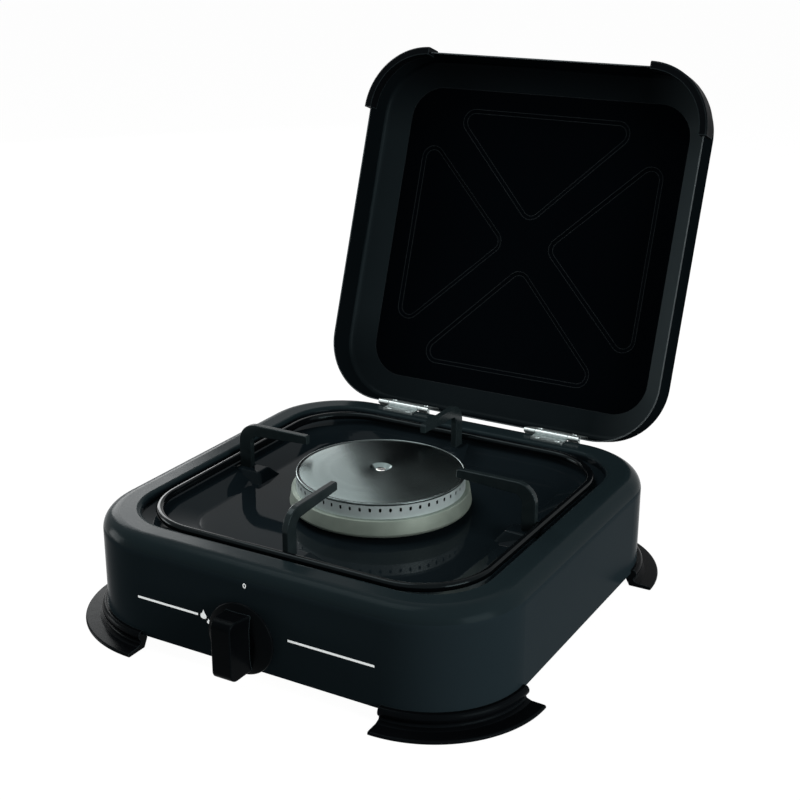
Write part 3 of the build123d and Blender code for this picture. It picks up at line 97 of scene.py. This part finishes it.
class Net:
    """A small wrapper that keeps node trees short to write."""

    def __init__(self, name):
        self.mat = bpy.data.materials.new(name)
        self.mat.use_nodes = True
        self.tree = self.mat.node_tree
        self.bsdf = self.tree.nodes["Principled BSDF"]
        self.place = self.add("ShaderNodeTexCoord").outputs["Object"]
        xyz = self.add("ShaderNodeSeparateXYZ")
        self.link(self.place, xyz.inputs[0])
        self.x, self.y, self.z = xyz.outputs

    def add(self, kind, **values):
        node = self.tree.nodes.new(kind)
        for key, value in values.items():
            setattr(node, key, value)
        return node

    def link(self, a, b):
        self.tree.links.new(a, b)

    def put(self, socket, value):
        """Link a node's output to the socket, or set a plain number or colour on it."""
        if hasattr(value, "is_linked"):
            self.link(value, socket)
        else:
            socket.default_value = value

    def math(self, op, a, b=0.0):
        node = self.add("ShaderNodeMath", operation=op)
        self.put(node.inputs[0], a)
        self.put(node.inputs[1], b)
        return node.outputs[0]

    def radius(self):
        """Distance from the vertical axis through the burner's middle."""
        squares = [self.math("MULTIPLY", side, side) for side in (self.x, self.y)]
        return self.math("SQRT", self.math("ADD", *squares))

    def noise(self, scale, detail=3.0, rough=0.5, stretch=None, vector=None):
        vector = vector or self.place
        if stretch:
            mapping = self.add("ShaderNodeMapping")
            mapping.inputs["Scale"].default_value = stretch
            self.link(vector, mapping.inputs["Vector"])
            vector = mapping.outputs[0]
        node = self.add("ShaderNodeTexNoise")
        node.inputs["Scale"].default_value = scale
        node.inputs["Detail"].default_value = detail
        node.inputs["Roughness"].default_value = rough
        self.link(vector, node.inputs["Vector"])
        return node.outputs[0]

    def ramp(self, value, low, dark, high, light):
        """Colour that goes from dark at low to light at high."""
        node = self.add("ShaderNodeValToRGB")
        self.put(node.inputs[0], value)
        for point, place, colour in zip(node.color_ramp.elements, (low, high), (dark, light)):
            point.position = place
            point.color = (*colour, 1.0)
        return node.outputs[0]

    def range(self, value, a, b, c, d):
        node = self.add("ShaderNodeMapRange")
        self.put(node.inputs[0], value)
        for i, v in enumerate((a, b, c, d)):
            self.put(node.inputs[i + 1], v)
        return node.outputs[0]

    def patchy(self, scale, low, high, detail=3.0):
        """Roughness that drifts between low and high over the surface."""
        return self.range(self.noise(scale, detail), 0.3, 0.7, low, high)

    def mix(self, factor, a, b):
        node = self.add("ShaderNodeMix", data_type="RGBA")
        self.put(node.inputs[0], factor)
        self.put(node.inputs[6], a if not isinstance(a, tuple) else (*a, 1.0))
        self.put(node.inputs[7], b if not isinstance(b, tuple) else (*b, 1.0))
        return node.outputs[2]

    def bump(self, height, strength, distance, normal=None):
        node = self.add("ShaderNodeBump")
        node.inputs["Strength"].default_value = strength
        node.inputs["Distance"].default_value = distance
        self.link(height, node.inputs["Height"])
        if normal:
            self.link(normal, node.inputs["Normal"])
        return node.outputs[0]

    def edges(self):
        """0 on open faces, and 1 along edges and pressed lines, found from the geometry."""
        bevel = self.add("ShaderNodeBevel", samples=6)
        bevel.inputs["Radius"].default_value = EDGE_WIDTH
        normal = self.add("ShaderNodeNewGeometry").outputs["Normal"]
        dot = self.add("ShaderNodeVectorMath", operation="DOT_PRODUCT")
        self.link(bevel.outputs[0], dot.inputs[0])
        self.link(normal, dot.inputs[1])
        return self.range(dot.outputs["Value"], 1.0, 0.85, 0.0, 1.0)

    def set(self, **values):
        for key, value in values.items():
            if isinstance(value, tuple):
                value = (*value, 1.0)
            self.put(self.bsdf.inputs[SOCKETS[key]], value)
        return self.mat


# ------------------------------------------------------------------ materials
# lengths in metres; a noise scale is the number of its features in a metre
EDGE_WIDTH = 0.0009
COOL = (0.72, 0.95, 1.0)
CAP_FLAT_RADIUS = 0.0550
RING_FACE_RADIUS = 0.0571


def enamel(name, dark, light, spec):
    """Fired enamel outside: deep blue-black, smooth, with a faint orange peel."""
    n = Net(name)
    peel = n.bump(n.noise(520.0, 2.0, 0.55), 0.05, 0.0004)
    return n.set(
        color=n.ramp(n.noise(9.0, 4.0), 0.3, dark, 0.75, light),
        rough=n.patchy(60.0, 0.17, 0.22),
        spec=spec,
        spec_tint=COOL,
        normal=n.bump(n.noise(2600.0, 1.0), 0.02, 0.0002, peel),
    )


def well_enamel():
    """The same enamel in the well, where it runs out smooth and looks wet, and a darker colour
    there:
    painted shade in the recess.
    """
    n = Net("well_enamel")
    dark = (0.0065, 0.0110, 0.0140)
    light = (0.0085, 0.0135, 0.0165)
    return n.set(
        color=n.ramp(n.noise(9.0, 4.0), 0.3, dark, 0.75, light),
        rough=n.patchy(60.0, 0.04, 0.06),
        spec=0.030,
        spec_tint=COOL,
        normal=n.bump(n.noise(120.0, 2.0), 0.02, 0.0003),
    )


def lid_enamel(name, dark, light, painted_highlight, spec, band=False):
    """The lid's enamel, with a painted highlight along its edges and pressed lines. A band gets
    painted shade towards the lid's two ends and a painted highlight towards its right side."""
    n = Net(name)
    colour = n.ramp(n.noise(8.0, 3.0), 0.3, dark, 0.75, light)
    if band:
        # painted shade: the band is darker towards the lid's free end and its hinge end
        free_end_painted_shade = n.range(n.z, 0.270, 0.325, 1.0, 0.0)
        hinge_end_painted_shade = n.range(n.z, 0.095, 0.135, 0.45, 1.0)
        # painted highlight: the band is lighter towards the lid's right side
        right_side_painted_highlight = n.range(n.x, 0.08, 0.13, 0.0, 0.5)
        colour = n.mix(n.math("MULTIPLY", free_end_painted_shade, hinge_end_painted_shade), (0.0012, 0.0020, 0.0028), colour)
        colour = n.mix(right_side_painted_highlight, colour, painted_highlight)
    return n.set(
        # painted highlight along edges and pressed lines
        color=n.mix(n.edges(), colour, painted_highlight),
        rough=n.patchy(55.0, 0.20, 0.26),
        spec=spec,
        spec_tint=COOL,
        normal=n.bump(n.noise(520.0, 2.0, 0.55), 0.05, 0.0004),
    )


def support_enamel(name, dark, light, spec, rough_low, rough_high):
    """Thin enamel on the pan support, with small pits."""
    n = Net(name)
    return n.set(
        color=n.ramp(n.noise(120.0, 3.0), 0.3, dark, 0.75, light),
        rough=n.patchy(300.0, rough_low, rough_high),
        spec=spec,
        spec_tint=COOL,
        normal=n.bump(n.noise(900.0, 3.0, 0.6), 0.10, 0.0004),
    )


def black_plastic(name, rough_low, rough_high, tone, grain=1500.0):
    """Moulded black plastic with fine pores, and a painted highlight along its edges."""
    n = Net(name)
    dark = (0.0026 * tone, 0.0034 * tone, 0.0042 * tone)
    light = (0.0038 * tone, 0.0048 * tone, 0.0058 * tone)
    colour = n.ramp(n.noise(30.0, 3.0), 0.3, dark, 0.75, light)
    return n.set(
        # painted highlight: a lighter colour along the edges
        color=n.mix(n.edges(), colour, (0.030, 0.042, 0.046)),
        rough=n.patchy(180.0, rough_low, rough_high),
        spec=0.014,
        spec_tint=COOL,
        normal=n.bump(n.noise(grain, 2.0, 0.6), 0.08, 0.0003),
    )


def cap_steel():
    """Turned steel: fine rings about the burner's middle, smudges, and painted shade on the rolled
    edge.
    """
    n = Net("cap_steel")
    radius = n.radius()
    outward = n.add("ShaderNodeCombineXYZ")
    n.link(radius, outward.inputs[0])
    rings = n.noise(1800.0, 3.0, 0.6, vector=outward.outputs[0])
    bands = n.noise(160.0, 2.0, 0.5, vector=outward.outputs[0])
    tint = n.ramp(bands, 0.3, (0.165, 0.212, 0.210), 0.7, (0.195, 0.245, 0.242))
    # painted shade: the rolled edge past the flat top is darker
    rim_painted_shade = n.math("GREATER_THAN", radius, CAP_FLAT_RADIUS)
    tangent = n.add("ShaderNodeTangent", direction_type="RADIAL", axis="Z")
    return n.set(
        color=n.mix(rim_painted_shade, tint, (0.08, 0.10, 0.10)),
        metal=1.0,
        rough=n.range(n.noise(40.0, 4.0), 0.3, 0.75, 0.20, 0.225),
        aniso=0.6,
        tangent=tangent.outputs[0],
        normal=n.bump(rings, 0.06, 0.0002),
    )


def cup_aluminium():
    """Cast aluminium with a warm, slightly green tone."""
    n = Net("cup_aluminium")
    dark = (0.200, 0.245, 0.210)
    light = (0.255, 0.305, 0.260)
    return n.set(
        color=n.ramp(n.noise(45.0, 3.0), 0.3, dark, 0.75, light),
        metal=0.35,
        rough=n.patchy(200.0, 0.38, 0.52),
        spec=0.3,
        normal=n.bump(n.noise(1400.0, 3.0, 0.6), 0.12, 0.0003),
    )


def ring_aluminium():
    """Turned aluminium, with painted shade inside the ports and behind them."""
    n = Net("ring_aluminium")
    tint = n.ramp(n.noise(60.0, 3.0), 0.3, (0.42, 0.50, 0.50), 0.75, (0.50, 0.58, 0.58))
    # painted shade: near black inside the ports and on the ring's inner faces
    port_painted_shade = n.math("LESS_THAN", n.radius(), RING_FACE_RADIUS)
    lines = n.noise(500.0, 3.0, 0.6, stretch=(1.0, 1.0, 14.0))
    return n.set(
        color=n.mix(port_painted_shade, tint, (0.010, 0.012, 0.012)),
        metal=0.35,
        rough=0.38,
        spec=0.4,
        normal=n.bump(lines, 0.06, 0.0003),
    )


def bright_screw():
    n = Net("bright_screw")
    return n.set(
        color=n.ramp(n.noise(300.0, 2.0), 0.3, (0.80, 0.80, 0.79), 0.7, (0.88, 0.88, 0.87)),
        metal=1.0,
        rough=0.16,
        normal=n.bump(n.noise(900.0, 2.0), 0.04, 0.0002),
    )


def zinc():
    """Zinc plating with its small crystals."""
    n = Net("zinc")
    cells = n.add("ShaderNodeTexVoronoi")
    cells.inputs["Scale"].default_value = 420.0
    n.link(n.place, cells.inputs["Vector"])
    cloud = n.math("MULTIPLY", n.noise(90.0), 0.4)
    spangle = n.math("ADD", cells.outputs["Distance"], cloud)
    return n.set(
        color=n.ramp(spangle, 0.2, (0.36, 0.41, 0.41), 0.9, (0.46, 0.51, 0.51)),
        metal=1.0,
        rough=0.38,
        normal=n.bump(n.noise(1600.0), 0.06, 0.0002),
    )


def cast_metal():
    n = Net("cast_metal")
    return n.set(
        color=n.ramp(n.noise(70.0, 4.0), 0.3, (0.30, 0.30, 0.295), 0.75, (0.42, 0.42, 0.41)),
        metal=0.9,
        rough=0.55,
        normal=n.bump(n.noise(1200.0, 4.0, 0.65), 0.25, 0.0005),
    )


def brass():
    n = Net("brass")
    return n.set(
        color=n.ramp(n.noise(90.0, 3.0), 0.3, (0.52, 0.36, 0.13), 0.75, (0.68, 0.50, 0.21)),
        metal=1.0,
        rough=n.patchy(240.0, 0.24, 0.38),
        normal=n.bump(n.noise(1500.0), 0.05, 0.0002),
    )


def drawn_tube():
    """Bright drawn metal, with faint lines along the way it was drawn."""
    n = Net("drawn_tube")
    lines = n.noise(700.0, 2.0, 0.5, stretch=(6.0, 1.0, 6.0))
    return n.set(
        color=n.ramp(n.noise(60.0, 3.0), 0.3, (0.50, 0.51, 0.52), 0.75, (0.62, 0.63, 0.64)),
        metal=1.0,
        rough=0.32,
        normal=n.bump(lines, 0.05, 0.0002),
    )


def print_ink():
    n = Net("print_ink")
    return n.set(
        color=n.ramp(n.noise(700.0, 3.0), 0.3, (0.72, 0.75, 0.75), 0.7, (0.82, 0.85, 0.85)),
        metal=0.8,
        rough=0.36,
    )


materials = {
    "enamel": enamel(
        "enamel", dark=(0.0145, 0.0240, 0.0290), light=(0.0172, 0.0280, 0.0335), spec=0.003
    ),
    # a glossier copy of the enamel for the faces that look up, its darker colour painted shade
    "top_enamel": enamel(
        "top_enamel", dark=(0.0105, 0.0185, 0.0215), light=(0.0128, 0.0218, 0.0250), spec=0.022
    ),
    "well": well_enamel(),
    "lid_enamel": lid_enamel(
        "lid_enamel",
        dark=(0.0010, 0.0017, 0.0026),
        light=(0.0014, 0.0023, 0.0034),
        painted_highlight=(0.24, 0.28, 0.29),
        spec=0.002,
    ),
    # a lighter copy of the lid's enamel for its sloped bands: painted light
    "lid_band_painted_light_and_shade": lid_enamel(
        "lid_band_painted_light_and_shade",
        dark=(0.0100, 0.0155, 0.0180),
        light=(0.0130, 0.0190, 0.0215),
        painted_highlight=(0.050, 0.065, 0.070),
        spec=0.010,
        band=True,
    ),
    # a copy of the lid's enamel for the skirt, with its colour cut down: painted shade
    "lid_skirt": lid_enamel(
        "lid_skirt",
        dark=(0.0030, 0.0050, 0.0060),
        light=(0.0040, 0.0062, 0.0075),
        painted_highlight=(0.006, 0.009, 0.010),
        spec=0.0,
    ),
    "lid_outside": lid_enamel(
        "lid_outside",
        dark=(0.0050, 0.0082, 0.0098),
        light=(0.0064, 0.0102, 0.0120),
        painted_highlight=(0.020, 0.028, 0.031),
        spec=0.003,
    ),
    "wire": support_enamel(
        "wire_enamel", (0.0020, 0.0028, 0.0034), (0.0034, 0.0044, 0.0052), 0.08, 0.07, 0.10
    ),
    # the prongs wear a lighter copy of the support's black enamel: a painted sheen
    "prong": support_enamel(
        "prong_enamel_painted_sheen", (0.0110, 0.0170, 0.0185), (0.0160, 0.0235, 0.0250), 0.10, 0.14, 0.20
    ),
    "foot": black_plastic("foot_plastic", 0.20, 0.28, tone=0.9),
    "buffer": black_plastic("buffer_plastic", 0.42, 0.55, tone=0.8),
    "knob": black_plastic("knob_plastic", 0.18, 0.26, tone=0.75, grain=1900.0),
    "cap": cap_steel(),
    "cup": cup_aluminium(),
    "ring": ring_aluminium(),
    "screw": bright_screw(),
    "zinc": zinc(),
    "cast": cast_metal(),
    "brass": brass(),
    "tube": drawn_tube(),
    "ink": print_ink(),
}

# the material of each node, by the start of its name; a later line wins over an earlier one
WEARS = (
    ("", "brass"),
    ("body_shell", "enamel"),
    ("lid", "lid_enamel"),
    ("lid_corner_buffer", "buffer"),
    ("foot", "foot"),
    ("foot_screws", "zinc"),
    ("knob", "knob"),
    ("burner_cap", "cap"),
    ("burner_cap_screw", "screw"),
    ("burner_cup", "cup"),
    ("burner_port_ring", "ring"),
    ("burner_screws", "zinc"),
    ("hinge", "zinc"),
    ("mixing_tube", "cast"),
    ("mixing_tube_screws", "zinc"),
    ("gas_pipe", "tube"),
    ("pan_support_frame", "wire"),
    ("pan_support_prong", "prong"),
    ("tap_spring", "tube"),
    ("tap_bonnet_screws", "zinc"),
    ("tap_panel_nut", "zinc"),
)
for name, obj in nodes.items():
    worn = [key for start, key in WEARS if name.startswith(start)]
    obj.data.materials.clear()
    obj.data.materials.append(materials[worn[-1]])

# The body's sides keep slot 0. The well, from just under its lip, wears the smoother enamel with a
# darker colour, painted shade in the recess. The faces that look up, on the top and its roll, wear
# the glossier one, also with a darker colour: painted shade.
WELL_REACH = 0.1275
WELL_TOP = body_hi.z - 0.0018
LOOKS_UP = 0.30
shell = nodes["body_shell"]
for key in ("well", "top_enamel"):
    shell.data.materials.append(materials[key])
for face in shell.data.polygons:
    place = shell.matrix_world @ face.center
    if max(abs(place.x), abs(place.y)) < WELL_REACH and place.z < WELL_TOP:
        face.material_index = 1
    elif face.normal.z > LOOKS_UP:
        face.material_index = 2

# The lid's inner panel keeps slot 0. Its sloped bands, its skirt and its outside are told apart by
# how far each face looks out of the lid's mouth: 1 is straight out, -1 is the outside. The bands
# wear a lighter copy of the enamel, painted light, and the skirt a copy with its colour cut down,
# painted shade.
LID_LEAN = math.radians(18.67)
OUTSIDE_BELOW = -0.5
SKIRT_BELOW = 0.3
BAND_BELOW = 0.942
lid = nodes["lid"]
for key in ("lid_band_painted_light_and_shade", "lid_skirt", "lid_outside"):
    lid.data.materials.append(materials[key])
mouth = Vector((0.0, -math.cos(LID_LEAN), math.sin(LID_LEAN)))
for face in lid.data.polygons:
    facing = face.normal.dot(mouth)
    if facing < OUTSIDE_BELOW:
        face.material_index = 3
    elif facing < SKIRT_BELOW:
        face.material_index = 2
    elif facing < BAND_BELOW:
        face.material_index = 1


# ------------------------------------------------------------------ printed marks on the panel
INK_THICKNESS = 0.00006
MM = 0.001


def printed(name, outlines):
    """A flat print on the front panel. The outlines are in millimetres: x from the hob's middle,
    and height over the panel's lower edge."""
    mesh = bpy.data.meshes.new(name)
    bm = bmesh.new()
    for outline in outlines:
        places = [(x * MM, body_lo.z + z * MM) for x, z in outline]
        front = [bm.verts.new((x, body_lo.y - INK_THICKNESS, z)) for x, z in places]
        rear = [bm.verts.new((x, body_lo.y, z)) for x, z in places]
        bm.faces.new(front)
        bm.faces.new(rear[::-1])
        for i in range(len(outline)):
            j = (i + 1) % len(outline)
            bm.faces.new((front[j], front[i], rear[i], rear[j]))
    bmesh.ops.recalc_face_normals(bm, faces=bm.faces)
    bm.to_mesh(mesh)
    bm.free()
    obj = bpy.data.objects.new(name, mesh)
    scene.collection.objects.link(obj)
    mesh.materials.append(materials["ink"])
    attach(obj, "base")


# a plain flame, one unit high, from the middle of its foot and anticlockwise
FLAME = (
    (0.0, 0.0),
    (0.22, 0.03),
    (0.36, 0.16),
    (0.38, 0.34),
    (0.29, 0.52),
    (0.17, 0.68),
    (0.08, 0.84),
    (0.04, 1.0),
    (-0.05, 0.82),
    (-0.13, 0.62),
    (-0.20, 0.52),
    (-0.24, 0.60),
    (-0.33, 0.42),
    (-0.36, 0.22),
    (-0.24, 0.06),
)
LINE_HEIGHT = 27.0
LINE_WIDTH = 1.5
OFF_MARK = (-6.8, 55.6)
OFF_MARK_HALF_SIZE = (1.2, 1.7)
OFF_MARK_LINE = 0.7
OFF_MARK_PARTS = 28


def flame(cx, cz, height):
    return [(cx + x * height, cz + z * height) for x, z in FLAME]


def line(x0, x1):
    low = LINE_HEIGHT - LINE_WIDTH / 2
    high = LINE_HEIGHT + LINE_WIDTH / 2
    return [(x0, low), (x1, low), (x1, high), (x0, high)]


def off_mark():
    """An upright oval ring, as a row of small quads."""
    (cx, cz), (rx, rz) = OFF_MARK, OFF_MARK_HALF_SIZE
    quads = []
    for i in range(OFF_MARK_PARTS):
        a, b = (2 * math.pi * k / OFF_MARK_PARTS for k in (i, i + 1))
        ends = ((a, 0.0), (b, 0.0), (b, OFF_MARK_LINE), (a, OFF_MARK_LINE))
        quads.append([(cx + (rx - t) * math.cos(k), cz + (rz - t) * math.sin(k)) for k, t in ends])
    return quads


printed("print_line_left", [line(-90.2, -42.9)])
printed("print_line_right", [line(23.6, 83.8)])
printed("print_flame_large", [flame(-38.8, 24.9, 6.4)])
printed("print_flame_small", [flame(-34.9, 22.4, 3.6)])
printed("print_off_mark", off_mark())


# ------------------------------------------------------------------ floor, world and lamps
# camera, mirror and glass rays see a white room; what lights the object is dimmer than that
FLOOR_HALF_SIZE = 6.0
FLOOR_GREY = 0.10
FLOOR_WHITE = 0.975
AMBIENT = 0.08
# name, place, what it is aimed at, width, watts
LAMPS = (
    ("key_right", (1.5, -0.38, 0.50), (0.05, 0.0, 0.06), 0.9, 17.5),
    ("top", (-0.55, -0.05, 1.5), (0.0, 0.0, 0.08), 0.8, 9.0),
    ("back_left", (-1.40, 0.97, 0.74), (-0.08, -0.05, 0.07), 0.75, 13.0),
    ("left", (-1.5, -0.40, 0.30), (0.0, 0.15, 0.20), 0.6, 8.0),
)


def math_node(tree, op, a, b):
    node = tree.nodes.new("ShaderNodeMath")
    node.operation = op
    for socket, value in zip(node.inputs, (a, b)):
        if isinstance(value, float):
            socket.default_value = value
        else:
            tree.links.new(value, socket)
    return node.outputs[0]


def looked_at(tree):
    """1 for camera, glossy and transmission rays, and 0 for the rays that light the object."""
    rays = tree.nodes.new("ShaderNodeLightPath").outputs
    seen = math_node(tree, "MAXIMUM", rays["Is Camera Ray"], rays["Is Glossy Ray"])
    return math_node(tree, "MAXIMUM", seen, rays["Is Transmission Ray"])


bm = bmesh.new()
bmesh.ops.create_grid(bm, x_segments=1, y_segments=1, size=FLOOR_HALF_SIZE)
floor_mesh = bpy.data.meshes.new("floor")
bm.to_mesh(floor_mesh)
bm.free()
floor = bpy.data.objects.new("floor", floor_mesh)
scene.collection.objects.link(floor)

paper = Net("floor")
paper.set(color=(FLOOR_GREY, FLOOR_GREY, FLOOR_GREY), rough=0.9, spec=0.0)
paper.bsdf.inputs["Emission Color"].default_value = (1, 1, 1, 1)
glow = math_node(paper.tree, "MULTIPLY", looked_at(paper.tree), FLOOR_WHITE)
paper.link(glow, paper.bsdf.inputs["Emission Strength"])
floor_mesh.materials.append(paper.mat)

world = bpy.data.worlds.new("world")
scene.world = world
world.use_nodes = True
sky = world.node_tree
backdrop = sky.nodes["Background"]
backdrop.inputs[0].default_value = (1, 1, 1, 1)
shown = math_node(sky, "MULTIPLY", looked_at(sky), 1.0 - AMBIENT)
sky.links.new(math_node(sky, "ADD", shown, AMBIENT), backdrop.inputs[1])

for name, place, target, width, watts in LAMPS:
    data = bpy.data.lights.new(name, "AREA")
    data.energy = watts
    data.size = width
    obj = bpy.data.objects.new(name, data)
    scene.collection.objects.link(obj)
    obj.location = place
    obj.rotation_mode = "QUATERNION"
    obj.rotation_quaternion = (Vector(place) - Vector(target)).to_track_quat("Z", "Y")
